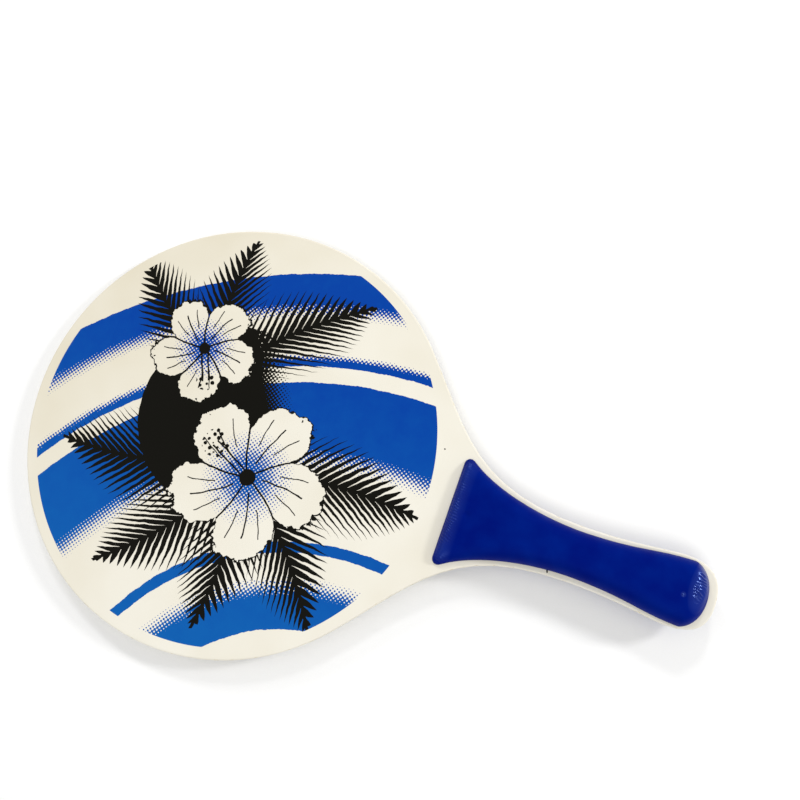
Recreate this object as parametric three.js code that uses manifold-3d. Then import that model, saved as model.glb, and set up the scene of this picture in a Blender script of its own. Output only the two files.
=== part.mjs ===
// Frescobol racket: a round plywood blade whose neck runs into a waisted handle, with a covered wooden
// scale nailed to each face of the handle.
// Sizes are in millimetres. The origin is the centre of the blade on its front face, +X runs along the
// handle to the butt and +Z points out of the front face.
import * as THREE from "three";
import { mergeVertices } from "three/addons/utils/BufferGeometryUtils.js";
import Module from "manifold-3d";

// Board outline
const BLADE_DIAMETER = 240;
const FLANK_ANGLE = 41; // degrees round the blade, from the handle, where the neck leaves it
const NECK_LENGTH = 76.8; // rim of the blade to the waist of the handle
const GRIP_LENGTH = 68.5; // waist to the end of the butt
const WAIST_WIDTH = 29;
const BUTT_WIDTH = 36.2;
const BUTT_LENGTH = 19.5; // widest place of the grip to the end of the butt

// Plywood, from a face inwards
const FACE_VENEER = 1.2;
const CROSSBAND = 1.4;
const CORE_PLY = 1.8;
const ARRIS_RADIUS = 0.9; // sanded round the edge of each face
const arrisLimitShare = 0.9; // of a face veneer, at most

// Cover outline, set in from the board
const COVER_SET_BACK = 6.8; // rim of the blade to the straight front edge
const FRONT_MARGIN = 5.55; // bare board beside each front corner, measured across the handle
const WAIST_MARGIN = 2.75;
const BUTT_MARGIN = 1.4;
const END_MARGIN = 4.3;
const FRONT_CORNER = 6.2; // length of the rounding on each side of a front corner
const COVER_BUTT_LENGTH = 10.5; // widest place of the cover to its end
const FLARE_ANGLE = 37; // degrees between the handle and the cover's flank at the front corner

// Height of the cover above the board, and how its edges round over
const FRONT_HEIGHT = 5.5;
const GRIP_HEIGHT = 8.5;
const RISE_LENGTH = 45; // stretch over which the cover rises from one height to the other
const SIDE_ROUND = 7;
const FRONT_ROUND = 4.5;
const NOSE_ROUND = 11;
const crownShare = 0.12; // how much lower the flanks are than the crest

// Wrapped vinyl and the wooden scale inside it
const COVER_THICKNESS = 0.8;
const GLUE_LINE = 0.3;
const HEM_WIDTH = 7; // turned under at the front edge and at the nose
const hemOpeningShare = 0.5; // width left open between the hems of the two flanks

// Brads
const BRAD_SHANK = 1.3;
const BRAD_HEAD = 3;
const BRAD_HEAD_THICKNESS = 0.5;
const BRAD_POINT = 1.5;
const BRAD_GAP = 0.3; // between a brad and the wood round it
const BRAD_FROM_FRONT = 9.5;
const BRAD_FROM_END = 11.6;
const BRAD_STAGGER = 6; // the rear brads stand this much nearer the middle of the handle
const bradBiteShare = 0.55; // of the board's thickness

// How far a curve's control points reach from its start and its end, as shares of its chord
const neckShares = [0.41, 0.495];
const gripShares = [0.495, 0.131];
const buttShares = [0.628, 0.353];
const cornerShares = [0.46, 0.46];
const coverNeckShares = [0.228, 0.404];
const coverGripShares = [0.5, 0.325];
const coverButtShares = [0.16, 0.592];

// Steps along each curve and across the cover
const BLADE_STEPS = 40;
const NECK_STEPS = 12;
const GRIP_STEPS = 5;
const BUTT_STEPS = 9;
const CORNER_STEPS = 5;
const ACROSS_STEPS = 16;
const ARRIS_STEPS = 3;
const BRAD_SIDES = 12;

const BOARD_THICKNESS = 2 * (FACE_VENEER + CROSSBAND) + CORE_PLY;
const bladeRadius = BLADE_DIAMETER / 2;
const waistX = bladeRadius + NECK_LENGTH;
const buttX = waistX + GRIP_LENGTH;
const coverFront = bladeRadius + COVER_SET_BACK;
const coverEnd = buttX - END_MARGIN;
const coreInset = COVER_THICKNESS + GLUE_LINE;

const wasm = await Module();
wasm.setup();

// Outlines

const at = (x, y) => new THREE.Vector2(x, y);
const along = new THREE.Vector2(1, 0);
const inwards = new THREE.Vector2(0, -1);
const outwards = new THREE.Vector2(0, 1);

function heading(degrees) {
  const angle = THREE.MathUtils.degToRad(degrees);
  return at(Math.cos(angle), Math.sin(angle));
}

// A curve that leaves one point and reaches the next along the given directions.
function sweep(from, leaving, to, arriving, [startShare, endShare]) {
  const chord = from.distanceTo(to);
  const first = from.clone().addScaledVector(leaving, chord * startShare);
  const second = to.clone().addScaledVector(arriving, -chord * endShare);
  return new THREE.CubicBezierCurve(from, first, second, to);
}

// Points along joined curves with the direction into the outline at each, from the front end to the butt.
function walk(stretches) {
  const places = [];
  stretches.forEach(({ curve, steps }, index) => {
    for (let step = index ? 1 : 0; step <= steps; step++) {
      const tangent = curve.getTangent(step / steps);
      places.push({ point: curve.getPoint(step / steps), inward: at(tangent.y, -tangent.x) });
    }
  });
  places.at(-1).point.y = 0;
  places.at(-1).inward.set(-1, 0);
  return places;
}

// One half of the board's outline, from the far end of the blade over +Y to the end of the butt.
function boardHalf() {
  const flankAngle = THREE.MathUtils.degToRad(FLANK_ANGLE);
  const flank = heading(FLANK_ANGLE).multiplyScalar(bladeRadius);
  const waist = at(waistX, WAIST_WIDTH / 2);
  const widest = at(buttX - BUTT_LENGTH, BUTT_WIDTH / 2);
  const blade = new THREE.EllipseCurve(0, 0, bladeRadius, bladeRadius, Math.PI, flankAngle, true);
  return walk([
    { curve: blade, steps: BLADE_STEPS },
    { curve: sweep(flank, heading(FLANK_ANGLE - 90), waist, along, neckShares), steps: NECK_STEPS },
    { curve: sweep(waist, along, widest, along, gripShares), steps: GRIP_STEPS },
    { curve: sweep(widest, along, at(buttX, 0), inwards, buttShares), steps: BUTT_STEPS },
  ]);
}

// The board's half width at a place along the handle.
function boardHalfWidth(x) {
  const half = boardHalf();
  const next = half.findIndex(({ point }, index) => index > BLADE_STEPS && point.x >= x);
  const before = half[next - 1].point;
  const after = half[next].point;
  return THREE.MathUtils.mapLinear(x, before.x, after.x, before.y, after.y);
}

// One half of the cover's outline: half the front edge is left out, as a section spans it.
function coverHalf() {
  const corner = at(coverFront, boardHalfWidth(coverFront) - FRONT_MARGIN);
  const flare = heading(-FLARE_ANGLE);
  const below = at(coverFront, corner.y - FRONT_CORNER);
  const flank = corner.clone().addScaledVector(flare, FRONT_CORNER);
  const waist = at(waistX, WAIST_WIDTH / 2 - WAIST_MARGIN);
  const widest = at(coverEnd - COVER_BUTT_LENGTH, BUTT_WIDTH / 2 - BUTT_MARGIN);
  return walk([
    { curve: sweep(below, outwards, flank, flare, cornerShares), steps: CORNER_STEPS },
    { curve: sweep(flank, flare, waist, along, coverNeckShares), steps: NECK_STEPS },
    { curve: sweep(waist, along, widest, along, coverGripShares), steps: GRIP_STEPS },
    { curve: sweep(widest, along, at(coverEnd, 0), inwards, coverButtShares), steps: BUTT_STEPS },
  ]);
}

// Solids

// Triangles between two loops of as many points, the second lying above or inside the first.
function band(lower, upper) {
  return lower.flatMap((corner, index) => {
    const next = (index + 1) % lower.length;
    return [[corner, lower[next], upper[next]], [corner, upper[next], upper[index]]];
  });
}

// Triangles that fill a flat loop, facing up.
function cap(loop) {
  const flat = loop.map(({ x, y }) => at(x, y));
  return THREE.ShapeUtils.triangulateShape(flat, []).map((corners) => corners.map((corner) => loop[corner]));
}

const turned = (faces) => faces.map(([a, b, c]) => [c, b, a]);
const geometryOf = (faces) => new THREE.BufferGeometry().setFromPoints(faces.flat());

// A closed outline from one half and its mirror image, anticlockwise, drawn in by a distance.
function closedLoop(half, inset, z) {
  const drawnIn = half.map(({ point, inward }) => point.clone().addScaledVector(inward, inset));
  const lower = drawnIn.map(({ x, y }) => new THREE.Vector3(x, -y, z));
  const upper = drawnIn.map(({ x, y }) => new THREE.Vector3(x, y, z));
  return [...lower, ...upper.slice(1, -1).reverse()];
}

// A solid between a first loop, the lowest, and the loops stacked on it.
function stack(loops) {
  const sides = loops.slice(1).flatMap((loop, index) => band(loops[index], loop));
  return geometryOf([...cap(loops.at(-1)), ...sides, ...turned(cap(loops[0]))]);
}

// A sheet of the board between two heights.
function plainPly(low, high) {
  const half = boardHalf();
  return stack([closedLoop(half, 0, low), closedLoop(half, 0, high)]);
}

// An outer sheet, whose upper edge is rounded.
function facePly(low, high) {
  const half = boardHalf();
  const radius = Math.min(ARRIS_RADIUS, arrisLimitShare * FACE_VENEER);
  const rounded = Array.from({ length: ARRIS_STEPS + 1 }, (_, step) => {
    const angle = (step / ARRIS_STEPS) * (Math.PI / 2);
    return closedLoop(half, radius * (1 - Math.cos(angle)), high - radius * (1 - Math.sin(angle)));
  });
  return stack([closedLoop(half, 0, low), ...rounded]);
}

// A quarter circle that climbs from 0 at the edge to 1 at the end of the rounding.
const roundOver = (share) => (share >= 1 ? 1 : Math.sqrt(Math.max(share, 0) * (2 - share)));

// Height of a grip surface above the board. Inset 0 is the outside of the cover.
function gripHeight(x, fromSide, acrossShare, inset) {
  const rise = THREE.MathUtils.smoothstep(x, coverFront, coverFront + RISE_LENGTH);
  const crest = THREE.MathUtils.lerp(FRONT_HEIGHT, GRIP_HEIGHT, rise) - 2 * inset;
  const side = roundOver(fromSide / (SIDE_ROUND - inset));
  const front = roundOver((x - coverFront - inset) / (FRONT_ROUND - inset));
  const nose = roundOver((coverEnd - inset - x) / (NOSE_ROUND - inset));
  return inset + crest * side * front * nose * (1 - crownShare * acrossShare ** 2);
}

// Rows of points over a grip surface, one row across for each place on the outline, up to the nose.
function gripRows(inset) {
  return coverHalf().map(({ point, inward }) => {
    const { x, y: halfWidth } = point.clone().addScaledVector(inward, inset);
    return Array.from({ length: ACROSS_STEPS + 1 }, (_, step) => {
      const acrossShare = -Math.cos((Math.PI * step) / ACROSS_STEPS);
      const fromSide = halfWidth * (1 - Math.abs(acrossShare));
      return new THREE.Vector3(x, halfWidth * acrossShare, gripHeight(x, fromSide, acrossShare, inset));
    });
  });
}

// The dome over the rows, its upper side out. The last row has closed to the point of the nose.
function dome(rows) {
  const nose = rows.at(-1)[0];
  return rows.slice(1).flatMap((row, index) => {
    const before = rows[index];
    const closing = index === rows.length - 2;
    return before.slice(1).flatMap((after, step) => {
      if (closing) return [[before[step], nose, after]];
      return [[before[step], row[step], row[step + 1]], [before[step], row[step + 1], after]];
    });
  });
}

// The rim of a dome, anticlockwise: down the front edge, out along -Y and back along +Y.
function rim(rows) {
  const between = rows.slice(1, -1);
  const backAlong = between.map((row) => row.at(-1)).reverse();
  return [...[...rows[0]].reverse(), ...between.map((row) => row[0]), rows.at(-1)[0], ...backAlong];
}

// The edge of the hem, a smaller copy of the rim. A gap draws it in further.
function hemLoop(rows, gap, z) {
  const low = coverFront + HEM_WIDTH + gap;
  const high = coverEnd - HEM_WIDTH - gap;
  const across = hemOpeningShare - gap / (WAIST_WIDTH / 2 - WAIST_MARGIN);
  return rim(rows).map(({ x, y }) => {
    return new THREE.Vector3(THREE.MathUtils.mapLinear(x, coverFront, coverEnd, low, high), y * across, z);
  });
}

// The vinyl: an outer dome, a hem turned under on the board, and the inner dome over the scale.
function coverSolid() {
  const outer = gripRows(0);
  const inner = gripRows(COVER_THICKNESS);
  const hemUnder = hemLoop(outer, 0, 0);
  const hemOver = hemLoop(outer, 0, COVER_THICKNESS);
  const hem = [...band(hemUnder, rim(outer)), ...band(hemOver, hemUnder), ...band(rim(inner), hemOver)];
  return geometryOf([...dome(outer), ...hem, ...turned(dome(inner))]);
}

// The wooden scale: a dome with a foot that stands on the board inside the hem.
function scaleSolid() {
  const rows = gripRows(coreInset);
  const footTop = hemLoop(gripRows(0), GLUE_LINE, coreInset);
  const foot = hemLoop(gripRows(0), GLUE_LINE, 0);
  const sides = [...band(footTop, rim(rows)), ...band(foot, footTop)];
  return geometryOf([...dome(rows), ...sides, ...turned(cap(foot))]);
}

// Cutting

function toManifold(geometry) {
  const bare = geometry.clone();
  bare.deleteAttribute("normal");
  bare.deleteAttribute("uv");
  const merged = mergeVertices(bare);
  const vertProperties = merged.getAttribute("position").array;
  return new wasm.Manifold(new wasm.Mesh({ numProp: 3, vertProperties, triVerts: merged.index.array }));
}

function fromManifold(solid) {
  const { numProp, vertProperties, triVerts } = solid.getMesh();
  const geometry = new THREE.BufferGeometry();
  geometry.setAttribute("position", new THREE.BufferAttribute(new Float32Array(vertProperties), numProp));
  return geometry.setIndex(new THREE.BufferAttribute(new Uint32Array(triVerts), 1)).toNonIndexed();
}

function cut(geometry, tools) {
  let solid = toManifold(geometry);
  for (const tool of tools) solid = solid.subtract(toManifold(tool));
  return fromManifold(solid);
}

// Brads, with z measured from the face that they are driven into

// The two brads of a face. The head lies flush in the scale and the point ends inside the board.
function bradPlaces(shift) {
  return [coverFront + BRAD_FROM_FRONT + shift, coverEnd - BRAD_FROM_END - shift].map((x) => {
    const headTop = gripHeight(x, SIDE_ROUND, 0, coreInset);
    return { x, headTop, seat: headTop - BRAD_HEAD_THICKNESS, tip: -bradBiteShare * BOARD_THICKNESS };
  });
}

function turnedProfile(points, place) {
  const lathe = new THREE.LatheGeometry(points, BRAD_SIDES);
  return lathe.rotateX(Math.PI / 2).translate(place.x, 0, 0);
}

function bradSolid(place) {
  const shank = BRAD_SHANK / 2;
  const head = BRAD_HEAD / 2;
  const profile = [
    at(0, place.tip),
    at(shank, place.tip + BRAD_POINT),
    at(shank, place.seat),
    at(head, place.seat),
    at(head, place.headTop),
    at(0, place.headTop),
  ];
  return turnedProfile(profile, place);
}

// The hole for a brad, with its recess for the head, open above the scale.
function bradHole(place) {
  const shank = BRAD_SHANK / 2 + BRAD_GAP;
  const head = BRAD_HEAD / 2 + BRAD_GAP;
  const profile = [
    at(0, place.tip - BRAD_GAP),
    at(shank, place.tip - BRAD_GAP),
    at(shank, place.seat),
    at(head, place.seat),
    at(head, GRIP_HEIGHT),
    at(0, GRIP_HEIGHT),
  ];
  return turnedProfile(profile, place);
}

// Finishes

const paintedFace = { color: "#f1ede0", roughness: 0.45, metalness: 0 };
const paintedEdge = { color: "#e4dcc8", roughness: 0.6, metalness: 0 };
const bareWood = { color: "#c9a877", roughness: 0.8, metalness: 0 };
const blueVinyl = { color: "#071f70", roughness: 0.5, metalness: 0 };
const steel = { color: "#9a9da0", roughness: 0.35, metalness: 1 };

function piece(name, geometry, finish) {
  geometry.computeVertexNormals();
  const mesh = new THREE.Mesh(geometry, new THREE.MeshStandardMaterial(finish));
  mesh.name = name;
  return mesh;
}

// One face of the racket, built with z up from the face.
function faceGroup(side, shift) {
  const group = new THREE.Group();
  const places = bradPlaces(shift);
  const holes = places.map(bradHole);
  const veneer = facePly(-FACE_VENEER, 0);
  const crossband = plainPly(-FACE_VENEER - CROSSBAND, -FACE_VENEER);
  group.add(piece(`${side}_face_veneer`, cut(veneer, holes), paintedFace));
  group.add(piece(`${side}_crossband`, cut(crossband, holes), paintedEdge));
  group.add(piece(`${side}_grip_core`, cut(scaleSolid(), holes), bareWood));
  group.add(piece(`${side}_grip_cover`, coverSolid(), blueVinyl));
  group.add(piece(`${side}_brad_blade_end`, bradSolid(places[0]), steel));
  group.add(piece(`${side}_brad_butt_end`, bradSolid(places[1]), steel));
  return group;
}

// The rear face is the front one turned half a turn about the handle's axis.
const turnOver = (object) => {
  object.scale.set(1, -1, -1);
  object.position.z = -BOARD_THICKNESS;
  return object;
};

function corePly() {
  const high = -FACE_VENEER - CROSSBAND;
  const fromFront = bradPlaces(0).map(bradHole);
  const fromRear = bradPlaces(BRAD_STAGGER).map(bradHole);
  for (const hole of fromRear) hole.rotateX(Math.PI).translate(0, 0, -BOARD_THICKNESS);
  return piece("core_ply", cut(plainPly(high - CORE_PLY, high), [...fromFront, ...fromRear]), paintedEdge);
}

const racket = new THREE.Group();
racket.add(faceGroup("front", 0), corePly(), turnOver(faceGroup("rear", BRAD_STAGGER)));

export default racket;
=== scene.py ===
# %% [markdown]
# # A frescobol racket
# This racket is a round plywood board, painted cream and screen printed, with a wrapped wooden scale on
# each face of its handle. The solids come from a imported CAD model. This lesson gives them their surfaces:
# satin paint, two printing inks, thin paint over plywood edges, and leather-grained vinyl with its pleats.

import math

import bmesh
import bpy
import numpy as np
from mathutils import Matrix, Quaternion, Vector


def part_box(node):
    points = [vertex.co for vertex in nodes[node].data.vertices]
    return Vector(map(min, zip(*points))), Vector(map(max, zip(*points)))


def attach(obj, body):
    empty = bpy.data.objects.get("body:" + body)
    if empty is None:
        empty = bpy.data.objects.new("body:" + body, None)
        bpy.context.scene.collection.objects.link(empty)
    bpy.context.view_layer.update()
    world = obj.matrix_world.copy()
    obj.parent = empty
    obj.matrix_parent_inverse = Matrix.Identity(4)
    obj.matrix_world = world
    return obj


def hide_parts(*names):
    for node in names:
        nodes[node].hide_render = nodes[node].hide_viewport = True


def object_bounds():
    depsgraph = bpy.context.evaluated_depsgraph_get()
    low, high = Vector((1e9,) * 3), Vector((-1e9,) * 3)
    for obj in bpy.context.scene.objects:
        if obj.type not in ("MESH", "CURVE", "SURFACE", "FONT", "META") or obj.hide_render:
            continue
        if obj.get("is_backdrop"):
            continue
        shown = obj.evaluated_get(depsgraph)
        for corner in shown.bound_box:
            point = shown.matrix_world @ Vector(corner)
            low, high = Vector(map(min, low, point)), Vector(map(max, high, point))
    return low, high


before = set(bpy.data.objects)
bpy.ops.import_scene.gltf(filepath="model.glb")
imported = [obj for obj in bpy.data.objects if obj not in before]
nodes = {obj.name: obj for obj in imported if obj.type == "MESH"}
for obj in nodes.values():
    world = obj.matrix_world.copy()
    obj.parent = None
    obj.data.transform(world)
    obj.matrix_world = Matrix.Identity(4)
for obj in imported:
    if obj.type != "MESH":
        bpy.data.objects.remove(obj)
cad_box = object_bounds()
print("nodes:", ", ".join(sorted(nodes)))

# %% [markdown]
# ## Millimetres
# Blender works in metres, and a racket is measured in millimetres. One factor turns the sizes that a maker
# would write down into scene units. The origin is the centre of the blade on its front face, +X runs down
# the handle, and +Z points out of the front face.

# %% Units
MM = 0.001


def mm(x, y, z):
    """A point given in millimetres, in scene units."""
    return Vector((x, y, z)) * MM


def box_mm(node):
    """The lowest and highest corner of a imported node, in millimetres."""
    return [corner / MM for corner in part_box(node)]


front_low, front_high = box_mm("front_face_veneer")
rear_low, _ = box_mm("rear_face_veneer")
cover_low, _ = box_mm("front_grip_cover")
board_middle = (front_high.z + rear_low.z) / 2
half_board = (front_high.z - rear_low.z) / 2
length, width, _ = front_high - front_low
print(f"board {length:.1f} x {width:.1f} x {2 * half_board:.1f} mm")

# %% [markdown]
# ## The camera
# The photograph was taken by hand from above the handle, with the handle pointing down to the right. A
# camera could be turned by three angles, but it is easier to read as where it stands, what it looks at,
# and how far it is rolled about that line. A 35 mm lens on a 36 mm sensor is a usual wide view, and it
# makes the near end look a little bigger.

# %% Camera
CAMERA_PLACE = mm(160.94, -25.46, 408.46)
CAMERA_AIM = mm(82.56, 46.94, 0)
CAMERA_ROLL = math.radians(-28.08)
LENS = 35
SENSOR_WIDTH = 36
NEAREST_SEEN = 10 * MM

camera = bpy.data.objects.new("camera", bpy.data.cameras.new("camera"))
bpy.context.scene.collection.objects.link(camera)
bpy.context.scene.camera = camera
camera.data.lens = LENS
camera.data.sensor_width = SENSOR_WIDTH
camera.data.clip_start = NEAREST_SEEN
camera.location = CAMERA_PLACE
level = (CAMERA_PLACE - CAMERA_AIM).to_track_quat("Z", "Y")
camera.rotation_mode = "QUATERNION"
camera.rotation_quaternion = level @ Quaternion((0, 0, 1), CAMERA_ROLL)
print(f"camera stands {(CAMERA_PLACE - CAMERA_AIM).length / MM:.0f} mm from what it looks at")

# %% [markdown]
# ## Colours and nodes
# A colour picker gives sRGB values, but a shader adds up light, which needs linear values, so one function
# turns a hex code into a linear colour. A material is a tree of nodes. One helper adds any node: values
# fill its sockets in order, and names set its options or a socket. What it returns can be linked onwards.


# %% Colour function and node helper
def linear(code):
    """A hex colour such as f4f0e4 as linear red, green, blue and alpha."""
    shares = [int(code[k : k + 2], 16) / 255 for k in (0, 2, 4)]
    return (*(s / 12.92 if s <= 0.04045 else ((s + 0.055) / 1.055) ** 2.4 for s in shares), 1)


def add(tree, kind, *values, take=None, **named):
    """Adds a node and returns its output socket, the first one in use unless take names another."""
    node = tree.nodes.new("ShaderNode" + kind)
    options = [name for name in named if hasattr(node, name)]
    for name in options:
        setattr(node, name, named.pop(name))
    fillings = [*zip([socket for socket in node.inputs if socket.enabled], values)]
    fillings += [(node.inputs[name.replace("_", " ")], value) for name, value in named.items()]
    for socket, value in fillings:
        if isinstance(value, bpy.types.NodeSocket):
            tree.links.new(value, socket)
        else:
            socket.default_value = value
    in_use = [socket for socket in node.outputs if socket.enabled]
    return node.outputs[take] if take else next(iter(in_use), None)


def start_material(name):
    """A new material, its empty tree, and the place of each point in millimetres."""
    material = bpy.data.materials.new(name)
    material.use_nodes = True
    tree = material.node_tree
    tree.nodes.clear()
    place = add(tree, "TexCoord", take="Object")
    return material, tree, add(tree, "VectorMath", place, 1 / MM, operation="SCALE")


# %% [markdown]
# ## One pattern for both faces
# The rear of the racket is its front turned over about the handle, so its Y is mirrored. Each face could
# have a material of its own, but the sign of Z, measured from the middle of the board, tells the faces
# apart, so one material serves both.


# %% Faces
def on_its_face(tree, place):
    """X, Y turned over on the rear, the height from the board's middle, and the face: 1 front, -1 rear."""
    x, y, z = (add(tree, "SeparateXYZ", place, take=axis) for axis in "XYZ")
    from_middle = add(tree, "Math", z, board_middle, operation="SUBTRACT")
    face = add(tree, "Math", from_middle, operation="SIGN")
    turned_y = add(tree, "Math", y, face, operation="MULTIPLY")
    return x, turned_y, from_middle, face


# %% [markdown]
# ## The print: where a point lies in the picture
# An image file could hold the print, but formulas stay crisp however near the camera comes. The picture
# stands upright when the handle points down, so a quarter turn makes X run to the right of it and Y up. A
# slow noise moves each point, as a hand-cut stencil's edge wanders. A noise stays within about a quarter
# of its middle, so a spread of 1.6 mm moves a point by up to 0.4 mm.

# %% Picture coordinates
WANDER_LENGTH = 6.25
WANDER_SPREAD = 1.6

paint, tree, place = start_material("satin_cream_paint_screen_printed")
x, turned_y, *_ = on_its_face(tree, place)
flat = add(tree, "CombineXYZ", x, turned_y)
upright = add(tree, "Mapping", flat, Rotation=(0, 0, -math.pi / 2))
wander = add(tree, "TexNoise", upright, 1 / WANDER_LENGTH, Detail=3.0, take="Color")
wander = add(tree, "VectorMath", wander, (0.5, 0.5, 0.5), operation="SUBTRACT")
wander = add(tree, "VectorMath", wander, WANDER_SPREAD, operation="SCALE")
picture = add(tree, "VectorMath", upright, wander, operation="ADD")
print(f"the print's edges wander by up to {WANDER_SPREAD / 4} mm")


def from_centre_of(tree, centre, direction):
    """The picture as seen from a centre and a direction in degrees: a vector, and its X and Y."""
    turn = (0, 0, math.radians(direction))
    local = add(tree, "Mapping", picture, (*centre, 0), turn, vector_type="TEXTURE")
    return local, *(add(tree, "SeparateXYZ", local, take=axis) for axis in "XY")


# %% [markdown]
# ## The print: blue sweeps
# Broad bands sweep across the blade. Each is the space between two circles about a point outside the
# blade. Most are crisp along one side and fade along the other. The tone of a point, from 0 to 1, says
# how much of the paint the ink should cover there. Dots come later.

# %% Blue sweeps
SWEEP_CENTRE = (-176, -96, 0)
CRISP = 0.2
SWEEPS = (
    # inner radius, outer radius, fade along the inner side, fade along the outer side
    (94, 122, CRISP, 12),
    (133, 139, CRISP, CRISP),
    (176, 226, 14, CRISP),
    (235, 243, CRISP, 5),
    (262, 290, 11, CRISP),
)

from_centre = add(tree, "VectorMath", picture, SWEEP_CENTRE, operation="DISTANCE")
sweeps = 0.0
for inner, outer, inner_fade, outer_fade in SWEEPS:
    rise = add(tree, "MapRange", from_centre, inner, inner + inner_fade)
    fall = add(tree, "MapRange", from_centre, outer, outer - outer_fade)
    band = add(tree, "Math", rise, fall, operation="MULTIPLY")
    sweeps = add(tree, "Math", sweeps, band, operation="MAXIMUM")
print(f"{len(SWEEPS)} blue sweeps")

# %% [markdown]
# ## The print: palm fronds
# A frond is drawn by a formula instead of a hundred points. Along its rib the frond's half width rises and
# falls like a bow. A zigzag wave that leans forwards, away from the rib, cuts it into leaflets: a leaflet
# is there where the wave is lower than the share of the width that is left, so each tapers to a point.

# %% Fronds
# shares of a frond's length: half its greatest width, and how far its tip bends aside
FROND_WIDTH_SHARE = 0.3
FROND_BEND_SHARE = 0.22
LEAFLET_PITCH = 5.2
# how far a leaflet leans forwards for each millimetre away from the rib
LEAFLET_LEAN = 1.25
HALF_RIB = 0.9
FRONDS = (
    # root of the rib, direction in degrees, length
    ((-18, -14), 152, 92),
    ((-18, -14), 196, 84),
    ((-22, -20), 236, 84),
    ((-16, -22), 286, 90),
    ((-16, -8), 112, 100),
    ((34, 30), 64, 74),
    ((36, 26), 14, 74),
    ((30, 18), -36, 92),
)


def frond(tree, root, direction, length):
    """1 on the leaflets and the rib of a palm frond, and 0 beside them."""
    _, ahead, aside = from_centre_of(tree, root, direction)
    share = add(tree, "Math", ahead, length, operation="DIVIDE")
    bend = add(tree, "Math", share, share, operation="MULTIPLY")
    straight = add(tree, "Math", bend, FROND_BEND_SHARE * length, aside, operation="MULTIPLY_ADD")
    side = add(tree, "Math", straight, operation="ABSOLUTE")
    rest = add(tree, "Math", 1.0, share, operation="SUBTRACT")
    # the bow is a quarter high at its middle
    bow = add(tree, "Math", share, rest, operation="MULTIPLY")
    half_width = add(tree, "Math", bow, 4 * FROND_WIDTH_SHARE * length, operation="MULTIPLY")
    reach = add(tree, "Math", side, half_width, operation="DIVIDE")
    leaning = add(tree, "Math", side, -LEAFLET_LEAN, ahead, operation="MULTIPLY_ADD")
    zigzag = add(tree, "Math", leaning, LEAFLET_PITCH / 2, operation="PINGPONG")
    left = add(tree, "Math", reach, -LEAFLET_PITCH / 2, LEAFLET_PITCH / 2, operation="MULTIPLY_ADD")
    leaflets = add(tree, "Math", zigzag, left, operation="LESS_THAN")
    rib = add(tree, "Math", side, HALF_RIB, operation="LESS_THAN")
    leaf = add(tree, "Math", leaflets, rib, operation="MAXIMUM")
    along_rib = add(tree, "Math", half_width, 0.0, operation="GREATER_THAN")
    return add(tree, "Math", leaf, along_rib, operation="MULTIPLY")


fronds = 0.0
for root, direction, length in FRONDS:
    leaf = frond(tree, root, direction, length)
    fronds = add(tree, "Math", fronds, leaf, operation="MAXIMUM")
print(f"{len(FRONDS)} palm fronds")

# %% [markdown]
# ## The print: petals
# A hibiscus flower is easiest in angles. The angle about its centre counts through five petals, and a
# ping-pong turns that count into how far a point is from a petal's middle line: 0 on it, and a half in
# the gap between two petals. The edge draws in towards the gaps, and a noise ruffles it.

# %% Petals
PETALS = 5
PETAL_ARC = math.tau / PETALS
# how much of a petal the flower turns by, from its centre to its edge
PETAL_TWIST = 0.22
# shares of the flower's radius: the plain edge, how far it draws in at a gap, and its ruffle
EDGE_SHARE = 0.79
GAP_SHARE = 0.4
RUFFLE_SHARE = 0.3
# waves of the ruffle along one radius
RUFFLES = 7


def petal_coordinates(tree, local, ahead, aside, size):
    """How far a point is from the flower's centre, and from a petal's middle line."""
    radius = add(tree, "VectorMath", local, operation="LENGTH")
    angle = add(tree, "Math", aside, ahead, operation="ARCTAN2")
    count = add(tree, "Math", angle, 1 / PETAL_ARC, operation="MULTIPLY")
    twisted = add(tree, "Math", radius, PETAL_TWIST / size, count, operation="MULTIPLY_ADD")
    return radius, add(tree, "Math", twisted, 0.5, operation="PINGPONG")


def inside_petals(tree, local, radius, across, size):
    """How deep a point lies inside the ruffled edge of the petals, in millimetres."""
    drawn_in = add(tree, "Math", across, 3.0, operation="POWER")
    at_gap = -GAP_SHARE * size / 0.5**3
    edge = add(tree, "Math", drawn_in, at_gap, EDGE_SHARE * size, operation="MULTIPLY_ADD")
    ruffle = add(tree, "TexNoise", local, RUFFLES / size, Detail=3.0, Roughness=0.6)
    edge = add(tree, "Math", ruffle, RUFFLE_SHARE * size, edge, operation="MULTIPLY_ADD")
    return add(tree, "Math", edge, radius, operation="SUBTRACT")


# %% [markdown]
# ## The print: lines of the petals
# Black lines about a millimetre wide follow the edge and the gaps, and finer ones the veins. Each petal has
# a vein along its middle and one on either side, and the veins stop short of the heart and of the edge.

# %% Lines of the petals
LINE = 1.0
# the middle and the half length of a vein, as shares of the flower's radius
MIDDLE_VEIN = (0.44, 0.26)
SIDE_VEIN = (0.56, 0.17)
# how far the side vein lies from the petal's middle line towards the gap
SIDE_VEIN_SHARE = 0.44


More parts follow.
